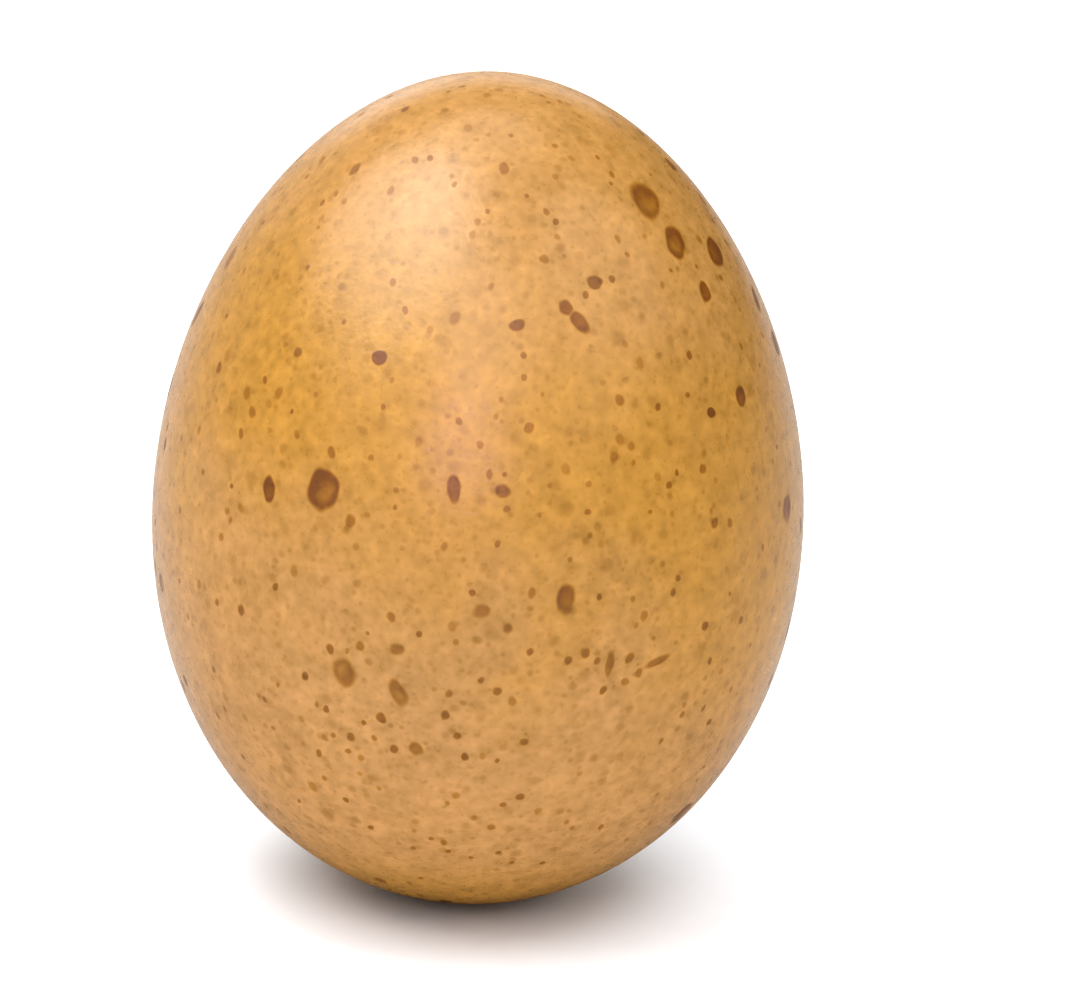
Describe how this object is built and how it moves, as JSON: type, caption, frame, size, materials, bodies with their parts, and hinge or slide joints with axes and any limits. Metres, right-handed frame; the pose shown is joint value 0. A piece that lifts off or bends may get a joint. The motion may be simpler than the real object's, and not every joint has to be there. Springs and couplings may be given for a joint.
{
  "type": "freckled hen's egg",
  "caption": "Whole freckled brown hen's egg in its shell, standing on a small flat spot on its blunt end, pointed end up.",
  "frame": {"origin": "centre of the small flat foot on the blunt end, where the egg stands", "axes": "+Z along the egg's long axis, from the blunt end up to the pointed end; X and Y are any two directions across it, since the egg is round"},
  "size_m": [0.0444, 0.0444, 0.0572],
  "materials": {
    "shell": "satin"
  },
  "bodies": {
    "root": {"egg": "shell"}
  },
  "joints": []
}
